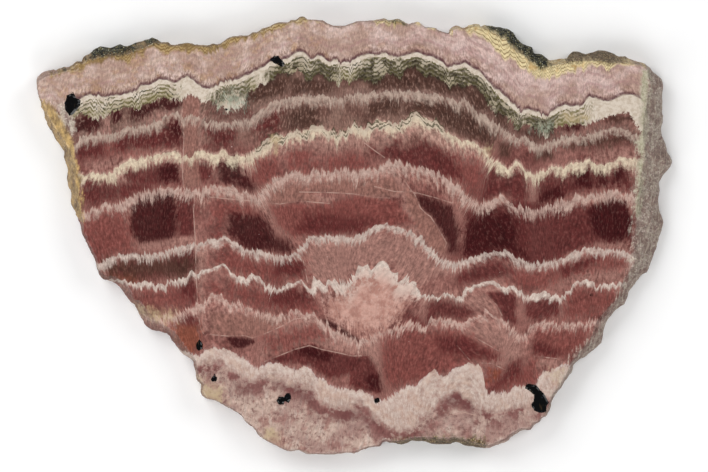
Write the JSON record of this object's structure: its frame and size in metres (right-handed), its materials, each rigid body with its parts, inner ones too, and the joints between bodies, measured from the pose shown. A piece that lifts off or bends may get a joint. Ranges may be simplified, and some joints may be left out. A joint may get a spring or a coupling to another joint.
{
  "type": "rhodochrosite slice",
  "caption": "Polished slice of banded rhodochrosite with a rough natural edge and crusts of wall rock, lying flat on its sawn back.",
  "frame": {"origin": "on the sawn back, under the middle of the outline's box", "axes": "+Z out of the polished face, +Y towards the pale pink outer band, +X along the bands"},
  "size_m": [0.1274, 0.0878, 0.006],
  "materials": {
    "rhodochrosite": "pink, maroon and white banded stone: glossy polished face, matt sawn back, rough broken edge"
  },
  "bodies": {
    "root": {"rhodochrosite_slice": "rhodochrosite"}
  },
  "joints": []
}
